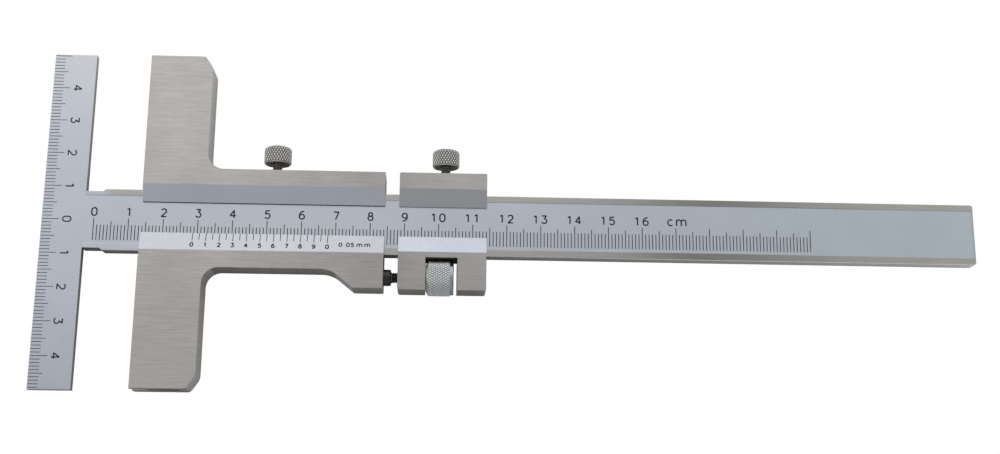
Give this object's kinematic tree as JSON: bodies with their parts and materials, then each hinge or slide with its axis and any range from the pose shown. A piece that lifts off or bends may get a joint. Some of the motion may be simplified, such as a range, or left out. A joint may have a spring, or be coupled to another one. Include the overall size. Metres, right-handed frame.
{
  "type": "marking caliper",
  "caption": "T-shaped beam with graduated crossbar and main scale; a slotted cross-jaw vernier slider with fine-adjust clamp and lock screws runs along it to mark lines parallel to an edge.",
  "frame": {"origin": "point of the crossbar's outer edge, the marking edge, in the beam's middle line, at half the crossbar's thickness", "axes": "+X along the beam towards its free end, +Y along the crossbar towards the lock screws, +Z out of the scale face"},
  "size_m": [0.2745, 0.1001, 0.0103],
  "materials": {
    "beam_steel": "satin chrome on hardened steel, ground lands",
    "ground_steel": "fine ground stainless steel",
    "gib_brass": "plain strip",
    "screw_steel": "turned and diamond knurled",
    "knurled_steel": "turned and fine diamond knurled",
    "blackened_steel": "black oxide",
    "scale_filling": "dark filling of the engraved marks and numerals"
  },
  "bodies": {
    "beam": {"beam": "beam_steel"},
    "slider": {"slider_body": "ground_steel", "slider_gib": "gib_brass", "slider_gib_screws": "screw_steel", "adjusting_screw": "blackened_steel"},
    "slider_stud": {"slider_lock_stud": "screw_steel"},
    "slider_head": {"slider_lock_head": "screw_steel"},
    "clamp": {"clamp_body": "ground_steel", "clamp_gib": "gib_brass"},
    "clamp_stud": {"clamp_lock_stud": "screw_steel"},
    "clamp_head": {"clamp_lock_head": "screw_steel"},
    "nut": {"adjusting_nut": "knurled_steel"}
  },
  "joints": [
    {"name": "slider_slide", "type": "slide", "parent": "beam", "child": "slider", "axis": [1, 0, 0], "range_m": [-0.0288, 0.1312]},
    {"name": "slider_stud_travel", "type": "slide", "parent": "slider", "child": "slider_stud", "axis": [0, 1, 0], "range_m": [0, 0.001]},
    {"name": "slider_head_turn", "type": "hinge", "parent": "slider_stud", "child": "slider_head", "pos_m": [0.06705, 0.02065, -0.00085], "axis": [0, 1, 0], "range_deg": [0, 720]},
    {"name": "clamp_slide", "type": "slide", "parent": "slider", "child": "clamp", "axis": [1, 0, 0], "range_m": [-0.0015, 0.003]},
    {"name": "nut_turn", "type": "hinge", "parent": "clamp", "child": "nut", "pos_m": [0.11555, -0.0155, -0.00085], "axis": [1, 0, 0], "range_deg": [-1080, 2160]},
    {"name": "clamp_stud_travel", "type": "slide", "parent": "clamp", "child": "clamp_stud", "axis": [0, 1, 0], "range_m": [0, 0.001]},
    {"name": "clamp_head_turn", "type": "hinge", "parent": "clamp_stud", "child": "clamp_head", "pos_m": [0.11685, 0.02065, -0.00085], "axis": [0, 1, 0], "range_deg": [0, 720]}
  ],
  "couplings": [
    {"joint": "slider_head_turn", "follows": "slider_stud_travel", "rad_per_m": 12566},
    {"joint": "nut_turn", "follows": "clamp_slide", "rad_per_m": 12566},
    {"joint": "clamp_head_turn", "follows": "clamp_stud_travel", "rad_per_m": 12566}
  ]
}
